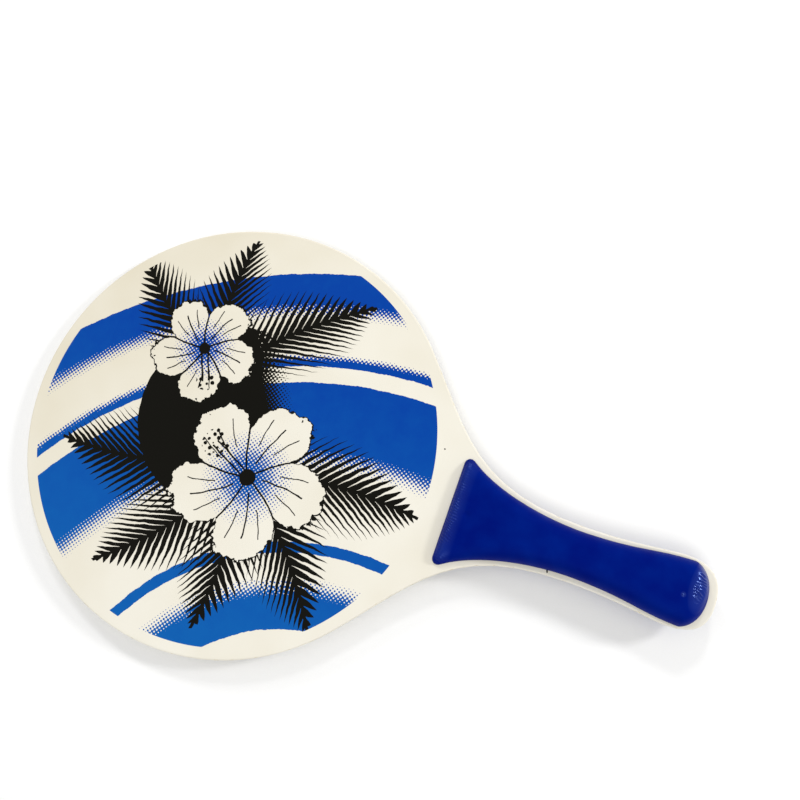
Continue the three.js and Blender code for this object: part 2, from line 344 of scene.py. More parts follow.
def petal_lines(tree, radius, across, depth, petals, size):
    """1 on the lines along the edge, the gaps and the veins of the petals."""
    lines = add(tree, "Math", depth, 0.0, 0.6 * LINE, operation="COMPARE")
    arc = add(tree, "Math", across, radius, operation="MULTIPLY")
    arc = add(tree, "Math", arc, PETAL_ARC, operation="MULTIPLY")
    gap = add(tree, "Math", radius, PETAL_ARC / 2, operation="MULTIPLY")
    side_vein = add(tree, "Math", gap, SIDE_VEIN_SHARE, operation="MULTIPLY")
    middle_reach, side_reach = (
        add(tree, "Math", radius, middle * size, half_length * size, operation="COMPARE")
        for middle, half_length in (MIDDLE_VEIN, SIDE_VEIN)
    )
    for line_place, line_width, reach in (
        (gap, LINE, petals),
        (0.0, 0.8 * LINE, middle_reach),
        (side_vein, 0.6 * LINE, side_reach),
    ):
        line = add(tree, "Math", arc, line_place, line_width / 2, operation="COMPARE")
        line = add(tree, "Math", line, reach, operation="MULTIPLY")
        line = add(tree, "Math", line, petals, operation="MULTIPLY")
        lines = add(tree, "Math", lines, line, operation="MAXIMUM")
    return lines


# %% [markdown]
# ## The print: the stamen
# A pale column with a black outline stands on the dark heart of the flower, and dots of pollen cluster
# round its tip. The dots are the cells of a Voronoi pattern, which lie in nearly even rows.

# %% Stamen
# shares of the flower's radius
STAMEN_SHARE = 0.58
HEART_SHARE = 0.1
POLLEN_SHARE = 0.17
STAMEN_HALF_WIDTH = 2.3
POLLEN_PITCH = 3.4
# the radius of a dot of pollen, as a share of the pitch
POLLEN_SIZE = 0.34


def with_stamen(tree, local, ahead, aside, radius, lines, size):
    """The lines of a flower with its heart and its stamen drawn over them."""
    half_length = STAMEN_SHARE / 2 * size
    along = add(tree, "Math", ahead, half_length, half_length, operation="COMPARE")
    column = add(tree, "Math", aside, 0.0, STAMEN_HALF_WIDTH, operation="COMPARE")
    column = add(tree, "Math", column, along, operation="MULTIPLY")
    hollow = add(tree, "Math", aside, 0.0, STAMEN_HALF_WIDTH - LINE, operation="COMPARE")
    hollow = add(tree, "Math", hollow, along, operation="MULTIPLY")
    lines = add(tree, "Math", lines, column, operation="MAXIMUM")
    lines = add(tree, "Math", lines, hollow, operation="SUBTRACT")
    heart = add(tree, "Math", radius, HEART_SHARE * size, operation="LESS_THAN")
    lines = add(tree, "Math", lines, heart, operation="MAXIMUM")

    cells = add(tree, "TexVoronoi", local, Scale=1 / POLLEN_PITCH, Randomness=0.35)
    dots = add(tree, "Math", cells, POLLEN_SIZE, operation="LESS_THAN")
    to_tip = add(tree, "VectorMath", local, (STAMEN_SHARE * size, 0, 0), operation="DISTANCE")
    near_tip = add(tree, "Math", to_tip, POLLEN_SHARE * size, operation="LESS_THAN")
    dots = add(tree, "Math", dots, near_tip, operation="MULTIPLY")
    return add(tree, "Math", lines, dots, operation="MAXIMUM")


# %% [markdown]
# ## The print: hibiscus flowers
# A flower gives three tones: its petals, which stay free of ink, its black lines, and a blue blush that
# is strongest round the heart. The tones of both flowers are laid over each other.

# %% Flowers
# where the blush begins to fade and where it ends, as shares of the flower's radius
BLUSH_SHARES = (0.12, 0.62)
BLUSH_TONE = 0.8
FLOWERS = (
    # centre, direction of the stamen in degrees, radius
    ((-20, -18), 64, 47),
    ((40, 34), 205, 33),
)


def hibiscus(tree, centre, direction, size):
    """The petals, the black lines and the blue blush of a flower, as three tones."""
    local, ahead, aside = from_centre_of(tree, centre, direction)
    radius, across = petal_coordinates(tree, local, ahead, aside, size)
    depth = inside_petals(tree, local, radius, across, size)
    petals = add(tree, "Math", depth, 0.0, operation="GREATER_THAN")
    lines = petal_lines(tree, radius, across, depth, petals, size)
    lines = with_stamen(tree, local, ahead, aside, radius, lines, size)
    fade_from, fade_to = (share * size for share in BLUSH_SHARES)
    blush = add(tree, "MapRange", radius, fade_from, fade_to, BLUSH_TONE, 0.0)
    blush = add(tree, "Math", blush, petals, operation="MULTIPLY")
    return petals, lines, blush


petals, lines, blush = 0.0, 0.0, 0.0
for centre, direction, size in FLOWERS:
    tones = hibiscus(tree, centre, direction, size)
    petals, lines, blush = (
        add(tree, "Math", before, tone, operation="MAXIMUM")
        for before, tone in zip((petals, lines, blush), tones)
    )
print(f"{len(FLOWERS)} flowers of {PETALS} petals")

# %% [markdown]
# ## The print: a dark disc, and the stencils together
# Behind the flowers lies a dark disc that fades away on one side. Both stencils leave the petals open but
# for their lines and their blush, so the cream paint shows there, and everything stops at a circle that
# stays clear of the blade's rim.

# %% Stencils
DISC_CENTRE = (8, 6, 0)
DISC_RADIUS = 52
# the way in which the disc fades, and where along it the fade begins and ends
DISC_FADE_DIRECTION = (0.5, -0.86, 0)
DISC_FADE = (20, 38)
PRINT_RADIUS = 113.8

from_disc = add(tree, "VectorMath", picture, DISC_CENTRE, operation="DISTANCE")
disc = add(tree, "Math", from_disc, DISC_RADIUS, operation="LESS_THAN")
fade_line = add(tree, "VectorMath", picture, DISC_FADE_DIRECTION, operation="DOT_PRODUCT")
fade = add(tree, "MapRange", fade_line, *DISC_FADE, 1.0, 0.0)
disc = add(tree, "Math", disc, fade, operation="MULTIPLY")
open_paper = add(tree, "Math", 1.0, petals, operation="SUBTRACT")
black_tone = add(tree, "Math", disc, fronds, operation="MAXIMUM")
black_tone = add(tree, "Math", black_tone, open_paper, operation="MULTIPLY")
black_tone = add(tree, "Math", black_tone, lines, operation="MAXIMUM")
blue_tone = add(tree, "Math", sweeps, open_paper, operation="MULTIPLY")
blue_tone = add(tree, "Math", blue_tone, blush, operation="MAXIMUM")
from_blade = add(tree, "VectorMath", upright, operation="LENGTH")
in_print = add(tree, "Math", from_blade, PRINT_RADIUS, operation="LESS_THAN")
print(f"dark disc {2 * DISC_RADIUS} mm wide, print {2 * PRINT_RADIUS:.1f} mm wide")

# %% [markdown]
# ## The print: dots
# Ink is pushed through a mesh screen, so it is either there or not. A fade is made of dots: small ones far
# apart, growing until they touch and leave small holes. Two crossed cosine waves give a hill for each dot,
# from a half below to a half above the middle. Ink lies wherever the hill plus the wanted tone is over a
# limit, so the tone sets how wide the dot grows: no tone leaves no dot, and a full one leaves no hole.
# The real dots stand about 1.3 mm apart, in rows turned by 35 degrees. That is little more than two pixels
# of the render, so they are drawn a little coarser here, to show.

# %% Dots
DOT_PITCH = 1.7
SCREEN_ANGLE = math.radians(35)
TONE_GAIN = 1.2
INK_LIMIT = 0.6

rows = add(tree, "Mapping", upright, Rotation=(0, 0, SCREEN_ANGLE))
crossed = add(tree, "VectorMath", rows, math.tau / DOT_PITCH, operation="SCALE")
crossed = add(tree, "VectorMath", crossed, operation="COSINE")
hills = add(tree, "VectorMath", crossed, (0.25, 0.25, 0), operation="DOT_PRODUCT")
inks = []
for tone in (blue_tone, black_tone):
    height = add(tree, "Math", tone, TONE_GAIN, hills, operation="MULTIPLY_ADD")
    ink = add(tree, "Math", height, INK_LIMIT, operation="GREATER_THAN")
    inks.append(add(tree, "Math", ink, in_print, operation="MULTIPLY"))
blue_ink, black_ink = inks
print(f"dots every {DOT_PITCH} mm, in rows turned by {math.degrees(SCREEN_ANGLE):.0f} degrees")

# %% [markdown]
# ## The inks
# Screen ink is a thin film. The blue one is drawn lighter towards the left of the picture: that is a
# painted sheen, a soft reflection lying over that part of the blade. The blue is also faintly cloudy all
# over. The black one hides what is below it.

# %% Inks
INK_BLUE = "0040a0"
INK_SHEEN_AND_CLOUD_BLUE = "0a5eae"
INK_BLACK = "100f0a"
# where across the picture the painted sheen begins, and where it is strongest
SHEEN_RAMP = (60, -110)
CLOUD = 9
CLOUD_STRENGTH = 0.5

across_picture = add(tree, "SeparateXYZ", upright, take="X")
# painted sheen: the blue lightens towards the left of the picture, as a soft reflection would
sheen_and_clouds = add(tree, "MapRange", across_picture, *SHEEN_RAMP)
clouds = add(tree, "TexNoise", upright, 1 / CLOUD, Detail=4.0, Roughness=0.6)
sheen_and_clouds = add(tree, "Math", clouds, CLOUD_STRENGTH, sheen_and_clouds, operation="MULTIPLY_ADD")
sheen_and_clouds = add(tree, "Math", sheen_and_clouds, CLOUD_STRENGTH / 2, operation="SUBTRACT")
blue = add(tree, "Mix", sheen_and_clouds, linear(INK_BLUE), linear(INK_SHEEN_AND_CLOUD_BLUE), data_type="RGBA")
# the second blue is the ink lightened by the painted sheen and by the clouds
print(f"inks: blue {INK_BLUE}, {INK_SHEEN_AND_CLOUD_BLUE} where it is thin, and black {INK_BLACK}")

# %% [markdown]
# ## Satin cream paint
# The board is sprayed with a cream alkyd paint. Its binder dries to a satin film, so it gives the eye a
# soft wide sheen over an even colour. A clear coat over a matt paint would add a sharp reflection, so one
# layer does both. The paint has yellowed in soft blotches. Towards the top of the blade it is drawn darker
# and a little yellower: that is mostly painted shade, where the light falls off. Where the edge of the
# outer sheet is rounded the film is thin, and handling has worn it in small spots.

# %% Paint
CREAM = "f0ecdf"
AGED_AND_SHADED_CREAM = "e0d8c2"
WORN_CREAM = "d6c8a6"
PATCH = 45
# a noise runs from 0 to 1, and mostly near a half: its values where a patch begins, and where it is full
PATCH_NOISE = (0.35, 0.75)
PATCH_STRENGTH = 0.4
# the way in which the paint is drawn darker and yellower as painted shade, and where along it that begins and
# is strongest
SHADED_SIDE = (0.5, 0.87, 0)
SHADE_RAMP = (-60, 116)
SHADE_STRENGTH = 0.65
WEAR = 3.5
WEAR_NOISE = (0.55, 0.72)
# upward part of the normal where the rounded edge begins, and where its film is thinnest
ROUNDED = (0.99, 0.8)

aging_and_shade = add(tree, "TexNoise", place, 1 / PATCH, Detail=2.0)
aging_and_shade = add(tree, "MapRange", aging_and_shade, *PATCH_NOISE, 0.0, PATCH_STRENGTH)
# painted shade: towards the top of the blade the paint is drawn darker, where the light falls off
painted_shade = add(tree, "VectorMath", upright, SHADED_SIDE, operation="DOT_PRODUCT")
painted_shade = add(tree, "MapRange", painted_shade, *SHADE_RAMP, 0.0, SHADE_STRENGTH)
aging_and_shade = add(tree, "Math", aging_and_shade, painted_shade, operation="ADD")
cream = add(tree, "Mix", aging_and_shade, linear(CREAM), linear(AGED_AND_SHADED_CREAM), data_type="RGBA")
colour = add(tree, "Mix", blue_ink, cream, blue, data_type="RGBA")
colour = add(tree, "Mix", black_ink, colour, linear(INK_BLACK), data_type="RGBA")

facing = add(tree, "NewGeometry", take="Normal")
upwards = add(tree, "SeparateXYZ", facing, take="Z")
upwards = add(tree, "Math", upwards, operation="ABSOLUTE")
on_arris = add(tree, "MapRange", upwards, *ROUNDED)
rubbed = add(tree, "TexNoise", place, 1 / WEAR, Detail=5.0, Roughness=0.65)
rubbed = add(tree, "MapRange", rubbed, *WEAR_NOISE)
worn = add(tree, "Math", on_arris, rubbed, operation="MULTIPLY")
colour = add(tree, "Mix", worn, colour, linear(WORN_CREAM), data_type="RGBA")
# the aged cream also carries the painted shade towards the top of the blade
print(f"cream paint {CREAM}, aged to {AGED_AND_SHADED_CREAM}, worn to {WORN_CREAM}")

# %% [markdown]
# ## Marks of use
# Two small dark marks on the front face tell that the racket has been played with: a speck beside the
# print, and a short tick at the lower edge of the cover. Each is an ellipse about a point of the face.

# %% Marks of use
MARK_GREY = "1c1a17"
MARKS = (
    # place, length and width, direction in degrees
    ((114.5, 29.4), (0.9, 0.8), 0),
    ((183.9, -12.8), (2.1, 0.9), -72),
)

marked = 0.0
for mark_place, mark_size, direction in MARKS:
    turn = (0, 0, math.radians(direction))
    local = add(tree, "Mapping", place, (*mark_place, 0), turn, (*mark_size, 1), vector_type="TEXTURE")
    mark = add(tree, "VectorMath", local, operation="LENGTH")
    mark = add(tree, "Math", mark, 0.5, operation="LESS_THAN")
    marked = add(tree, "Math", marked, mark, operation="MAXIMUM")
colour = add(tree, "Mix", marked, colour, linear(MARK_GREY), data_type="RGBA")
print(f"{len(MARKS)} marks of use")

# %% [markdown]
# ## The surface of the paint
# Under the paint the grain of the outer veneer still tells, as long shallow lines along the handle, and the
# film has the fine orange peel of a spray gun. Both go into the bump, and a layer of ink stands a
# hundredth of a millimetre above the paint. Ink is full of pigment, so it is duller than the satin paint
# and shows its colour deep and even. Worn paint is rougher.

# %% Paint surface
GRAIN_WIDTH = 1.4
GRAIN_LENGTH = 40
PEEL = 1.1
FILM_DEPTH = 0.02
INK_HEIGHT_SHARE = 0.5
# the roughness of paint, and what ink and wear add to it
PAINT_ROUGHNESS = 0.32
INK_ROUGHER = 0.1
WORN_ROUGHER = 0.2
PAINT_SPECULAR = 0.25
INK_SPECULAR = 0.06

any_ink = add(tree, "Math", blue_ink, black_ink, operation="MAXIMUM")
along_grain = add(tree, "Mapping", place, Scale=(1 / GRAIN_LENGTH, 1 / GRAIN_WIDTH, 1 / GRAIN_WIDTH))
grain = add(tree, "TexNoise", along_grain, Scale=1.0, Detail=5.0, Roughness=0.6)
peel = add(tree, "TexNoise", place, 1 / PEEL, Detail=2.0)
roughness = add(tree, "Math", any_ink, INK_ROUGHER, PAINT_ROUGHNESS, operation="MULTIPLY_ADD")
roughness = add(tree, "Math", worn, WORN_ROUGHER, roughness, operation="MULTIPLY_ADD")
height = add(tree, "Math", any_ink, INK_HEIGHT_SHARE, grain, operation="MULTIPLY_ADD")
normal = add(tree, "Bump", Strength=1.0, Distance=FILM_DEPTH * MM, Height=height)
normal = add(tree, "Bump", Strength=1.0, Distance=FILM_DEPTH * MM, Height=peel, Normal=normal)
specular = add(tree, "MapRange", any_ink, 0.0, 1.0, PAINT_SPECULAR, INK_SPECULAR)
surface = add(
    tree,
    "BsdfPrincipled",
    Base_Color=colour,
    Roughness=roughness,
    Normal=normal,
    Specular_IOR_Level=specular,
)
add(tree, "OutputMaterial", surface)

for node in ("front_face_veneer", "rear_face_veneer"):
    nodes[node].data.materials[0] = paint
print(f"{paint.name}: {len(tree.nodes)} nodes")

# %% [markdown]
# ## Paint over the edges of the plies
# The edge of the board shows three more plies. The same paint is thin here, and end grain drinks it, so
# the eye gets a dull, slightly darker cream with pores, and fine grooves where the glue lines run. The
# grooves are finer than a pixel, so they are left to colour and bump instead of being cut into the plies:
# the darker colour in them is painted shade.

# %% Edges
EDGE_CREAM = "ece7d8"
SUNK_AND_SHADED_CREAM = "cfc4a8"
EDGE_ROUGHNESS = 0.6
INNER_PLIES = ("front_crossband", "core_ply", "rear_crossband")
GROOVE = 0.18
PORE = 0.5
PORE_NOISE = (0.52, 0.75)
PORE_DEPTH = 0.08

edge_paint, tree, place = start_material("thin_cream_paint_over_ply_edges")
ply_height = add(tree, "SeparateXYZ", place, take="Z")
grooves = 0.0
for node in INNER_PLIES:
    for corner in box_mm(node):
        groove = add(tree, "Math", ply_height, corner.z, GROOVE / 2, operation="COMPARE")
        grooves = add(tree, "Math", grooves, groove, operation="MAXIMUM")
pores = add(tree, "TexNoise", place, 1 / PORE, Detail=4.0, Roughness=0.65)
sunk_and_shaded = add(tree, "MapRange", pores, *PORE_NOISE)
sunk_and_shaded = add(tree, "Math", sunk_and_shaded, grooves, operation="MAXIMUM")
# painted shade: the grooves are drawn darker, as shade would fall in them; the pores are darker paint
colour = add(tree, "Mix", sunk_and_shaded, linear(EDGE_CREAM), linear(SUNK_AND_SHADED_CREAM), data_type="RGBA")
height = add(tree, "Math", 1.0, sunk_and_shaded, operation="SUBTRACT")
normal = add(tree, "Bump", Strength=1.0, Distance=PORE_DEPTH * MM, Height=height)
surface = add(tree, "BsdfPrincipled", Base_Color=colour, Roughness=EDGE_ROUGHNESS, Normal=normal)
add(tree, "OutputMaterial", surface)

for node in INNER_PLIES:
    nodes[node].data.materials[0] = edge_paint
print(f"{edge_paint.name}: on {', '.join(INNER_PLIES)}")

# %% [markdown]
# ## Vinyl: where it is stretched
# The grip is wrapped in PVC vinyl, calendered into a sheet and embossed like leather. Over the two ends and
# over a nail the sheet was stretched, and there its pebbles are drawn flat and it shines. One field says
# how stretched the vinyl is: a strip behind the front edge, an ellipse round the nose, and a spot over the
# nail near the butt. It counts only high up on the cover, as the sheet's foot was never pulled.

# %% Stretched vinyl
# distances behind the front edge where the strip ends, and where it is fully stretched
FRONT_STRETCH = (9, 4)
FRONT_STRETCHED = 0.6
# centre, half length and half width of the nose's ellipse
NOSE_PATCH = (254.6, 4.2, 3.8, 9)
# place, radius and height of the bump that the nail near the butt makes
PIMPLE = (247.8, -1.5, 0.55, 0.34)
# the rear nails stand this much nearer the middle of the handle
REAR_NAIL_SHIFT = 6
# distances from the centre of a patch, in its radii, where it ends, and where it is fully stretched
PATCH_FADE = (1.5, 0.8)
# heights above the board's face where the stretched part begins, and where it is full
STRETCHED_HEIGHTS = (2.5, 4)

vinyl, tree, place = start_material("embossed_blue_pvc_vinyl")
x, turned_y, from_middle, face = on_its_face(tree, place)
flat = add(tree, "CombineXYZ", x, turned_y)
shift = add(tree, "MapRange", face, 1.0, -1.0, 0.0, REAR_NAIL_SHIFT)
shifted = add(tree, "CombineXYZ", add(tree, "Math", x, shift, operation="ADD"), turned_y)
strip_end, strip_full = (cover_low.x + distance for distance in FRONT_STRETCH)
stretched = add(tree, "MapRange", x, strip_end, strip_full, 0.0, FRONT_STRETCHED)
for point, patch in ((flat, NOSE_PATCH), (shifted, (*PIMPLE[:2], 1, 1))):
    patch_x, patch_y, half_length, half_width = patch
    radii = (half_length, half_width, 1)
    in_patch = add(tree, "Mapping", point, (patch_x, patch_y, 0), Scale=radii, vector_type="TEXTURE")
    off_patch = add(tree, "VectorMath", in_patch, operation="LENGTH")
    in_patch = add(tree, "MapRange", off_patch, *PATCH_FADE)
    stretched = add(tree, "Math", stretched, in_patch, operation="MAXIMUM")
above_board = add(tree, "Math", from_middle, operation="ABSOLUTE")
low, high = (half_board + height for height in STRETCHED_HEIGHTS)
high_up = add(tree, "MapRange", above_board, low, high)
stretched = add(tree, "Math", stretched, high_up, operation="MULTIPLY")
print(f"vinyl stretched from x = {cover_low.x:.1f} to {strip_end:.1f} mm, and round {NOSE_PATCH[0]} mm")

# %% [markdown]
# ## Vinyl: colour, pebbles and shine
# To the eye the vinyl is a deep even blue, nearly matt along the grip, with small pebbles and fine creases
# between them. They are only 0.03 mm deep, so a bump is enough, while the deeper pleats get real shape.
# Where the vinyl is stretched the pebbles nearly vanish, it shines, and the pigment tints that shine. So
# the lamps leave pale blue glints at the front edge and round the nose.

# %% Vinyl
VINYL_BLUE = "001272"
VINYL_WORN_BLUE = "001c7c"
SHEEN_TINT = "8cb0ff"
# roughness and specular level of slack and of stretched vinyl
MATT = (0.45, 0.03)
SHINY = (0.2, 0.9)
MOTTLE = 14
MOTTLE_NOISE = (0.35, 0.7)
PEBBLE = 0.8
PEBBLE_DEPTH = 0.03
# how much of the pebbles is left, and how stretched the vinyl is there
FLATTENED = 0.15
FLATTENED_AT = 0.7

mottle = add(tree, "TexNoise", place, 1 / MOTTLE, Detail=3.0)
tint = add(tree, "MapRange", mottle, *MOTTLE_NOISE)
colour = add(tree, "Mix", tint, linear(VINYL_BLUE), linear(VINYL_WORN_BLUE), data_type="RGBA")
roughness, specular = (
    add(tree, "MapRange", stretched, 0.0, 1.0, matt, shiny) for matt, shiny in zip(MATT, SHINY)
)
pebbles = add(tree, "TexVoronoi", place, Scale=1 / PEBBLE, Randomness=0.9, feature="SMOOTH_F1")
height = add(tree, "Math", 1.0, pebbles, operation="SUBTRACT")
pebbles_left = add(tree, "MapRange", stretched, 0.0, FLATTENED_AT, 1.0, FLATTENED)
normal = add(tree, "Bump", Strength=pebbles_left, Distance=PEBBLE_DEPTH * MM, Height=height)
surface = add(
    tree,
    "BsdfPrincipled",
    Base_Color=colour,
    Roughness=roughness,
    Normal=normal,
    Specular_IOR_Level=specular,
    Specular_Tint=linear(SHEEN_TINT),
)
add(tree, "OutputMaterial", surface)
print(f"{vinyl.name}: {len(tree.nodes)} nodes")

# %% [markdown]
# ## The covers: one smooth skin
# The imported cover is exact, but its facets are flat. A new cover could be lofted, but it would have to be
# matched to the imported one, so that one is smoothed instead. Its triangles are joined back into four-sided
# faces, and a subdivision surface rounds them, while creases keep the sharp rim that lies on the board.

# %% Skin of a cover
MERGE_DISTANCE = 0.001
SHARP_ANGLE = math.radians(50)
# how far two joined triangles may bend, and how far a corner of the new face may be off a right angle
MOST_BEND = math.radians(40)
MOST_SKEW = math.radians(70)
SMOOTHING_ROUNDS = 3


def smooth_skin(node):
    """A finely meshed smooth copy of a packed cover."""
    work = bmesh.new()
    work.from_mesh(nodes[node].data)
    bmesh.ops.remove_doubles(work, verts=work.verts, dist=MERGE_DISTANCE * MM)
    bmesh.ops.join_triangles(
        work, faces=work.faces, angle_face_threshold=MOST_BEND, angle_shape_threshold=MOST_SKEW
    )
    crease = work.edges.layers.float.new("crease_edge")
    for edge in work.edges:
        if edge.calc_face_angle(0) > SHARP_ANGLE:
            edge[crease] = 1
    mesh = bpy.data.meshes.new(node)
    work.to_mesh(mesh)
    work.free()
    rough = bpy.data.objects.new(node, mesh)
    bpy.context.scene.collection.objects.link(rough)
    smoothing = rough.modifiers.new("smooth", "SUBSURF")
    smoothing.levels = smoothing.render_levels = SMOOTHING_ROUNDS
    dressed = rough.evaluated_get(bpy.context.evaluated_depsgraph_get())
    skin = bpy.data.meshes.new_from_object(dressed)
    bpy.data.objects.remove(rough)
    return skin


# %% [markdown]
# ## The covers: finer faces where they crease
# A dent needs points to be made of. The whole cover could be split finely, but most of those faces would
# show nothing. So only the faces behind the front edge, round the nose and about the nails are split
# further, until their edges are a fraction of a pleat. The hem and the foot of the cover stay as they are,
# because they lie against the board.

# %% Finer faces
PLEAT_MESH = 0.17
SPLIT_ROUNDS = 3
# edges that face outwards by less than this share, or lie lower than this height, aren't split
OUTWARD = 0.05
HEM_TOP = 1.0
# how far the creased parts go: behind the front edge, off the nose's centre, and about a nail
FRONT_STRIP = 9.5
NOSE_LIMIT = 1.1
NAIL_REACH = 3.2
# place, radius and depth of the dimple that the nail near the blade makes
DIMPLE = (136.5, 0.2, 1.8, 0.55)


def above_face(z, side):
    """How far a height is above the board's face on one side, in millimetres."""
    return (z - board_middle) * side - half_board


def off_nose(x, y):
    """0 at the centre of the nose's ellipse, and 1 on its edge."""
    patch_x, patch_y, half_length, half_width = NOSE_PATCH
    return ((x - patch_x) / half_length) ** 2 + ((y - patch_y) / half_width) ** 2


def creases(point, side, shift):
    """Whether the vinyl has pleats or a nail at a point. The nails shift to the handle's middle."""
    x, y = point.x, point.y * side
    nails = ((DIMPLE[0] + shift, DIMPLE[1]), (PIMPLE[0] - shift, PIMPLE[1]))
    near_nail = any(math.hypot(x - nail_x, y - nail_y) < NAIL_REACH for nail_x, nail_y in nails)
    return x < cover_low.x + FRONT_STRIP or off_nose(x, y) < NOSE_LIMIT or near_nail


def split_faces(skin, side, shift):
    """Splits a skin's outer faces where it creases, until their edges are short enough for pleats."""
    work = bmesh.new()
    work.from_mesh(skin)
    for _ in range(SPLIT_ROUNDS):
        long_edges = [
            edge
            for edge in work.edges
            if edge.calc_length() > PLEAT_MESH * MM
            and all(v.normal.z * side > OUTWARD for v in edge.verts)
            and all(above_face(v.co.z / MM, side) > HEM_TOP for v in edge.verts)
            and creases(edge.verts[0].co / MM, side, shift)
        ]
        bmesh.ops.subdivide_edges(work, edges=long_edges, cuts=1, use_grid_fill=True, smooth=1)
    work.to_mesh(skin)
    work.free()


# %% [markdown]
# ## The covers: waves, dents and pleats
# No wrapped grip creases evenly. So the pleats' places, lengths and depths all waver, by fields made of
# sines that cross each other in random directions. A nail's dent is round, and a row of pleats is narrow
# ridges with wide hollows between them, as vinyl gathers over a hard edge.

# %% Waves, dents and pleats
SINES = 7
# the shortest and the longest sine of a field, as shares of its pitch
WAVE_LENGTHS = (0.7, 1.6)


def smooth_step(value, low, high):
    """0 below low, 1 above high, and an S-shaped climb between them."""
    share = np.clip((value - low) / (high - low), 0, 1)
    return share * share * (3 - 2 * share)


def waves(x, y, strength, pitch, random):
    """A smooth field of crossing sines that wavers about 0 by a strength, over about a pitch."""
    field = 0
    for angle in random.uniform(0, math.tau, SINES):
        length = pitch * random.uniform(*WAVE_LENGTHS)
        across = x * math.cos(angle) + y * math.sin(angle)
        field = field + np.sin(across * math.tau / length + random.uniform(0, math.tau))
    # the sines hardly ever meet at their crests, so a third of their sum seldom passes 1
    return strength * (field / 3)


def dent(x, y, centre_x, centre_y, radius, depth):
    """A round dent of a radius and depth."""
    return depth * np.exp(-((x - centre_x) ** 2 + (y - centre_y) ** 2) / radius**2)


def pleat(row):
    """Narrow ridges at the whole numbers of a row, and wide hollows between them."""
    return 1 - (0.5 + 0.5 * np.cos(row * math.tau)) ** 2


# %% [markdown]
# ## The covers: pleats at the front edge
# The vinyl is stretched over the wood and tucked under it. At the straight front edge it gathers in fine
# slanted pleats, deepest a little below the middle of the edge. The real ones stand about 1.1 mm apart,
# which is two pixels of the render, so they are drawn a little wider here, to show.

# %% Front pleats
FRONT_PLEAT_PITCH = 1.4
FRONT_PLEAT_SLANT = math.tan(math.radians(14))
FRONT_PLEAT_LENGTH = 7.5
FRONT_PLEAT_DEPTH = 0.2
# where along the edge the pleats are deepest, how far from there they get shallow, and how shallow
DEEPEST_Y = -3
DEEP_REACH = 15
SHALLOW = 0.25
# the pleats grow between these distances behind the edge, and fade out over their last stretch
FRONT_GROWTH = (0.5, 2)
FRONT_FADE = 3.5
# strength and pitch of the waves by which pleats stray aside, and by which their length and depth change
FRONT_STRAYING = (0.35, 7)
FRONT_LENGTH_CHANGE = (0.2, 5)
FRONT_DEPTH_CHANGE = (0.25, 6)


def front_pleats(x, y, random):
    """How deep the front pleats press in each point, in millimetres."""
    from_front = x - cover_low.x
    astray = waves(x, y, *FRONT_STRAYING, random)
    row = (y + FRONT_PLEAT_SLANT * from_front + astray) / FRONT_PLEAT_PITCH
    length = FRONT_PLEAT_LENGTH * (1 + waves(0 * x, y, *FRONT_LENGTH_CHANGE, random))
    deepest_here = SHALLOW + np.exp(-(((y - DEEPEST_Y) / DEEP_REACH) ** 2))
    strength = deepest_here + waves(x, y, *FRONT_DEPTH_CHANGE, random)
    window = smooth_step(from_front, *FRONT_GROWTH) * smooth_step(length - from_front, 0, FRONT_FADE)
    return np.maximum(FRONT_PLEAT_DEPTH * strength * window * pleat(row), 0)


# %% [markdown]
# ## The covers: pleats round the nose
# Round the nose the sheet has to turn two ways at once, and it gathers in coarser pleats. They fill an
# ellipse and fade out towards its edge. They are drawn wider than the real ones too.

# %% Nose pleats
NOSE_PLEAT_PITCH = 1.6
NOSE_PLEAT_SLANT = math.tan(math.radians(10))
NOSE_PLEAT_DEPTH = 0.38
NOSE_FADE = 0.95
NOSE_STRAYING = (0.4, 7)
# the mean share of the depth, the waves by which it changes, and how slowly it does so along a pleat
NOSE_STRENGTH = 0.8
NOSE_DEPTH_CHANGE = (0.35, 4)
ALONG_PLEAT = 0.3


def nose_pleats(x, y, random):
    """How deep the nose pleats press in each point, in millimetres."""
    past_centre = x - NOSE_PATCH[0]
    astray = waves(x, y, *NOSE_STRAYING, random)
    row = (y + NOSE_PLEAT_SLANT * past_centre + astray) / NOSE_PLEAT_PITCH
    window = smooth_step(1 - off_nose(x, y), 0, NOSE_FADE)
    strength = NOSE_STRENGTH + waves(ALONG_PLEAT * x, y, *NOSE_DEPTH_CHANGE, random)
    return np.maximum(NOSE_PLEAT_DEPTH * strength * window * pleat(row), 0)


# %% [markdown]
# ## The covers: all of the relief
# A sunk nail leaves a dimple near the blade, and another a pimple in a shallow dish near the butt. All
# over, the vinyl lies a little slack. Everything but the pimple's tip is pressed inwards from the packed
# surface, along the normals, so the cover keeps its size.

# %% Relief
# place, radius and depth of the dish round the pimple
DISH = (*PIMPLE[:2], 2.4, 0.3)
SLACK_DEPTH = 0.05
SLACK_PITCH = 11
# the relief grows from nothing over these outward shares of the normal, and over this height above the hem
OUTWARD_GROWTH = (0.02, 0.3)
FOOT_GROWTH = 0.6


def relief(x, y, shift, random):
    """How deep each point is pressed in, in millimetres. The nails shift to the handle's middle."""
    front = front_pleats(x, y, random)
    nose = nose_pleats(x, y, random)
    slack = np.maximum(SLACK_DEPTH * (1 + waves(x, y, 1, SLACK_PITCH, random)), 0)
    nails = dent(x - shift, y, *DIMPLE) + dent(x + shift, y, *DISH) - dent(x + shift, y, *PIMPLE)
    return front + nose + slack + nails


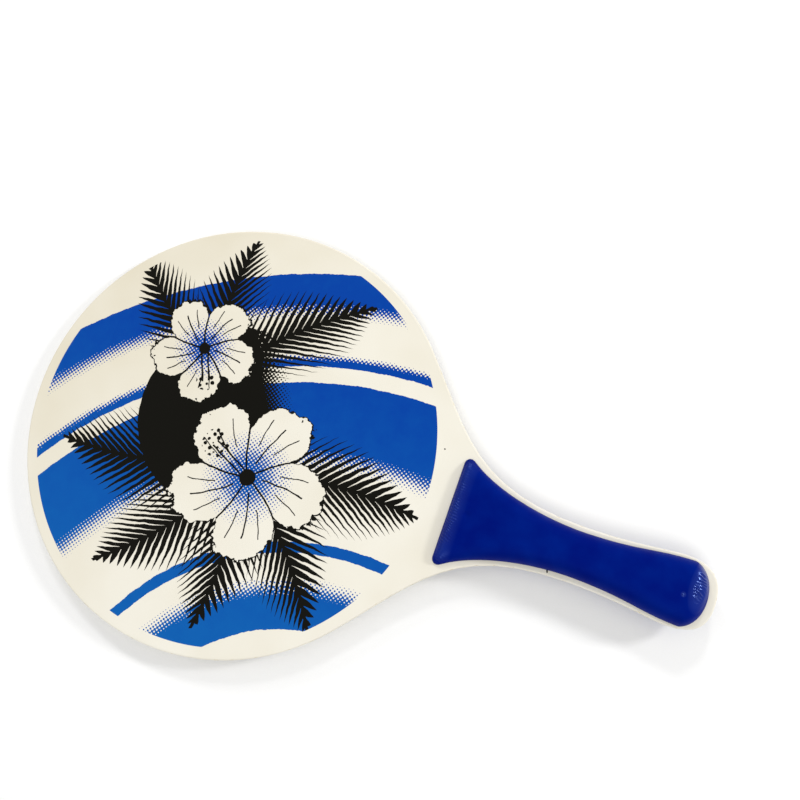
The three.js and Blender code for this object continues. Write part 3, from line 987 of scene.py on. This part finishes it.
def press_in(skin, side, shift, random):
    """Presses the relief into a skin's outer face, and returns its greatest depth in millimetres."""
    places = np.empty(len(skin.vertices) * 3)
    skin.vertices.foreach_get("co", places)
    places = places.reshape(-1, 3)
    normals = np.array([normal.vector for normal in skin.vertex_normals])
    depth = relief(places[:, 0] / MM, places[:, 1] / MM * side, shift, random)
    outside = smooth_step(normals[:, 2] * side, *OUTWARD_GROWTH)
    outside *= smooth_step(above_face(places[:, 2] / MM, side), HEM_TOP, HEM_TOP + FOOT_GROWTH)
    places -= normals * (depth * outside * MM)[:, None]
    skin.vertices.foreach_set("co", places.ravel())
    return depth.max()


# %% [markdown]
# ## The covers: both sides
# The rear cover is the front one turned over about the handle. Its pleats are drawn with other random
# numbers, as no two wrapped grips crease alike, and its nails stand nearer the middle of the handle, so
# that they miss the front ones inside the board.

# %% Covers
for node, name, side, shift, seed in (
    # packed cover, its skin, side of the board, shift of the nails, seed of the random numbers
    ("front_grip_cover", "front_grip_wrap", 1, 0, 4),
    ("rear_grip_cover", "rear_grip_wrap", -1, REAR_NAIL_SHIFT, 9),
):
    skin = smooth_skin(node)
    split_faces(skin, side, shift)
    deepest = press_in(skin, side, shift, np.random.default_rng(seed))
    skin.shade_smooth()
    skin.materials.clear()
    skin.materials.append(vinyl)
    wrap = bpy.data.objects.new(name, skin)
    bpy.context.scene.collection.objects.link(wrap)
    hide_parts(node)
    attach(wrap, "root")
    print(f"{name}: {len(skin.polygons)} faces, pressed in by up to {deepest:.2f} mm")

# %% [markdown]
# ## Wood inside
# The scales are hidden by the covers, and are finished all the same. They are planed pine: pale early
# wood and darker late wood in straight stripes, with the dull sheen that a plane leaves. A noise drawn out
# along the handle gives such stripes without a seam.

# %% Wood
PALE_WOOD = "d9b98a"
LATE_WOOD = "b98b55"
WOOD_ROUGHNESS = (0.6, 0.75)
RING_WIDTH = 2.2
RING_LENGTH = 60
RING_NOISE = (0.3, 0.7)
LATE_WOOD_NOISE = (0.42, 0.62)
RING_DEPTH = 0.08

wood, tree, place = start_material("planed_straight_grained_pine")
along_grain = add(tree, "Mapping", place, Scale=(1 / RING_LENGTH, 1 / RING_WIDTH, 1 / RING_WIDTH))
rings = add(tree, "TexNoise", along_grain, Scale=1.0, Detail=6.0, Roughness=0.65)
late = add(tree, "MapRange", rings, *LATE_WOOD_NOISE)
colour = add(tree, "Mix", late, linear(PALE_WOOD), linear(LATE_WOOD), data_type="RGBA")
roughness = add(tree, "MapRange", rings, *RING_NOISE, *WOOD_ROUGHNESS)
normal = add(tree, "Bump", Strength=1.0, Distance=RING_DEPTH * MM, Height=rings)
surface = add(tree, "BsdfPrincipled", Base_Color=colour, Roughness=roughness, Normal=normal)
add(tree, "OutputMaterial", surface)

for node in ("front_grip_core", "rear_grip_core"):
    nodes[node].data.materials[0] = wood
print(f"{wood.name}: on both grip cores")

# %% [markdown]
# ## Steel inside
# The brads are cut from steel wire. Drawing it through a die leaves fine lines along it, so the eye gets a
# bright metal whose reflections are stretched across those lines. A noise drawn out along the wire puts
# the lines into the colour, the roughness and the bump alike.

# %% Steel
BRIGHT_STEEL = "c9c6c0"
DULL_STEEL = "a7a39c"
STEEL_ROUGHNESS = (0.25, 0.42)
# lines of the die per millimetre, across and along the wire
DIE_LINES = (6, 6, 0.6)
DIE_NOISE = (0.3, 0.7)
DULL_NOISE = (0.4, 0.7)
DIE_LINE_DEPTH = 0.01

steel, tree, place = start_material("bright_drawn_steel_wire")
die_lines = add(tree, "Mapping", place, Scale=DIE_LINES)
die_lines = add(tree, "TexNoise", die_lines, Scale=1.0, Detail=4.0, Roughness=0.6)
dull = add(tree, "MapRange", die_lines, *DULL_NOISE)
colour = add(tree, "Mix", dull, linear(BRIGHT_STEEL), linear(DULL_STEEL), data_type="RGBA")
roughness = add(tree, "MapRange", die_lines, *DIE_NOISE, *STEEL_ROUGHNESS)
normal = add(tree, "Bump", Strength=1.0, Distance=DIE_LINE_DEPTH * MM, Height=die_lines)
surface = add(
    tree, "BsdfPrincipled", Base_Color=colour, Metallic=1.0, Roughness=roughness, Normal=normal
)
add(tree, "OutputMaterial", surface)

brads = [node for node in nodes if "brad" in node]
for brad in brads:
    nodes[brad].data.materials[0] = steel
print(f"{steel.name}: on {len(brads)} brads")

# %% [markdown]
# ## The floor
# The racket doesn't lie level: it touches the floor with the far rim of its blade and with the crest of
# its rear grip. The solids stay where the CAD model has them, so the floor is tilted and not the racket.
# Its slope is the flattest one that leaves every point of the racket above it. The floor is a matt white
# paper backdrop. Its fibres scatter light evenly, so the eye gets soft shadows and no reflection.

# %% Floor
FLOOR_WIDTH = 4000
# points nearer the far rim than this can't set the slope
CLEAR_OF_RIM = 5
PAPER_WHITE = "fdfdfd"
PAPER_SHADE = "fbfbfa"
PAPER_ROUGHNESS = 0.9
FIBRE = 0.8
FIBRE_NOISE = (0.3, 0.7)
FIBRE_DEPTH = 0.02

far_rim = mm(rear_low.x, 0, rear_low.z)
clear_x = far_rim.x + CLEAR_OF_RIM * MM
points = [v.co for node in nodes.values() for v in node.data.vertices if v.co.x > clear_x]
slope = min((p.z - far_rim.z) / (p.x - far_rim.x) for p in points)
print(f"floor slopes {math.degrees(math.atan(slope)):.2f} degrees")

paper, tree, place = start_material("matt_white_paper_backdrop")
fibres = add(tree, "TexNoise", place, 1 / FIBRE, Detail=3.0)
tint = add(tree, "MapRange", fibres, *FIBRE_NOISE)
colour = add(tree, "Mix", tint, linear(PAPER_WHITE), linear(PAPER_SHADE), data_type="RGBA")
normal = add(tree, "Bump", Strength=1.0, Distance=FIBRE_DEPTH * MM, Height=fibres)
surface = add(tree, "BsdfPrincipled", Base_Color=colour, Roughness=PAPER_ROUGHNESS, Normal=normal)
add(tree, "OutputMaterial", surface)

bpy.ops.mesh.primitive_plane_add(size=FLOOR_WIDTH * MM)
floor = bpy.context.object
floor.name = "floor"
floor.rotation_euler.y = -math.atan(slope)
floor.location = far_rim
floor.data.materials.append(paper)
floor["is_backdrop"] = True

# %% [markdown]
# ## Light
# The light is that of a bright room. A picture of a room could give it, but lamps placed one by one put
# the glints where the photograph has them. An even white sky fills the shadows and the narrow margins
# beside the grip. A softbox on the near side and a wider one on the left give the blade its even tone.
# Three small lamps stand like windows on the far side, and draw short bright strokes along the pleats. The
# standard view shows the colours as they are worked out.

# %% Sky and lamps
SKY_WHITE = "ffffff"
SKY_BRIGHTNESS = 0.53
LAMPS = (
    # name, place, width, power in watts
    ("far_window", mm(-200, 1500, 1350), 250, 6),
    ("left_window", mm(-890, 1230, 1030), 250, 4.5),
    ("right_window", mm(1480, 910, 820), 250, 12),
    ("near_softbox", mm(700, -1300, 2400), 1300, 18),
    ("side_softbox", mm(-1500, -450, 2000), 1800, 5),
)

world = bpy.data.worlds.new("studio")
bpy.context.scene.world = world
world.use_nodes = True
world.node_tree.nodes.clear()
sky = add(world.node_tree, "Background", linear(SKY_WHITE), SKY_BRIGHTNESS)
add(world.node_tree, "OutputWorld", sky)
bpy.context.scene.view_settings.view_transform = "Standard"

for name, lamp_place, lamp_width, watts in LAMPS:
    lamp = bpy.data.objects.new(name, bpy.data.lights.new(name, "AREA"))
    bpy.context.scene.collection.objects.link(lamp)
    lamp.location = lamp_place
    lamp.rotation_mode = "QUATERNION"
    lamp.rotation_quaternion = (lamp_place - CAMERA_AIM).to_track_quat("Z", "Y")
    lamp.data.size = lamp_width * MM
    lamp.data.energy = watts
print(f"{len(LAMPS)} lamps, {sum(watts for *_, watts in LAMPS)} watts together")

# %% [markdown]
# ## The size once more
# The box of the imported solids and the box of the dressed racket are printed together. Dressing the racket
# may not make it bigger.

# %% Sizes
boxes = {"cad": cad_box, "visual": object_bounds()}
for name, (low, high) in boxes.items():
    print(name, [round(v / MM, 2) for v in (*low, *high)])
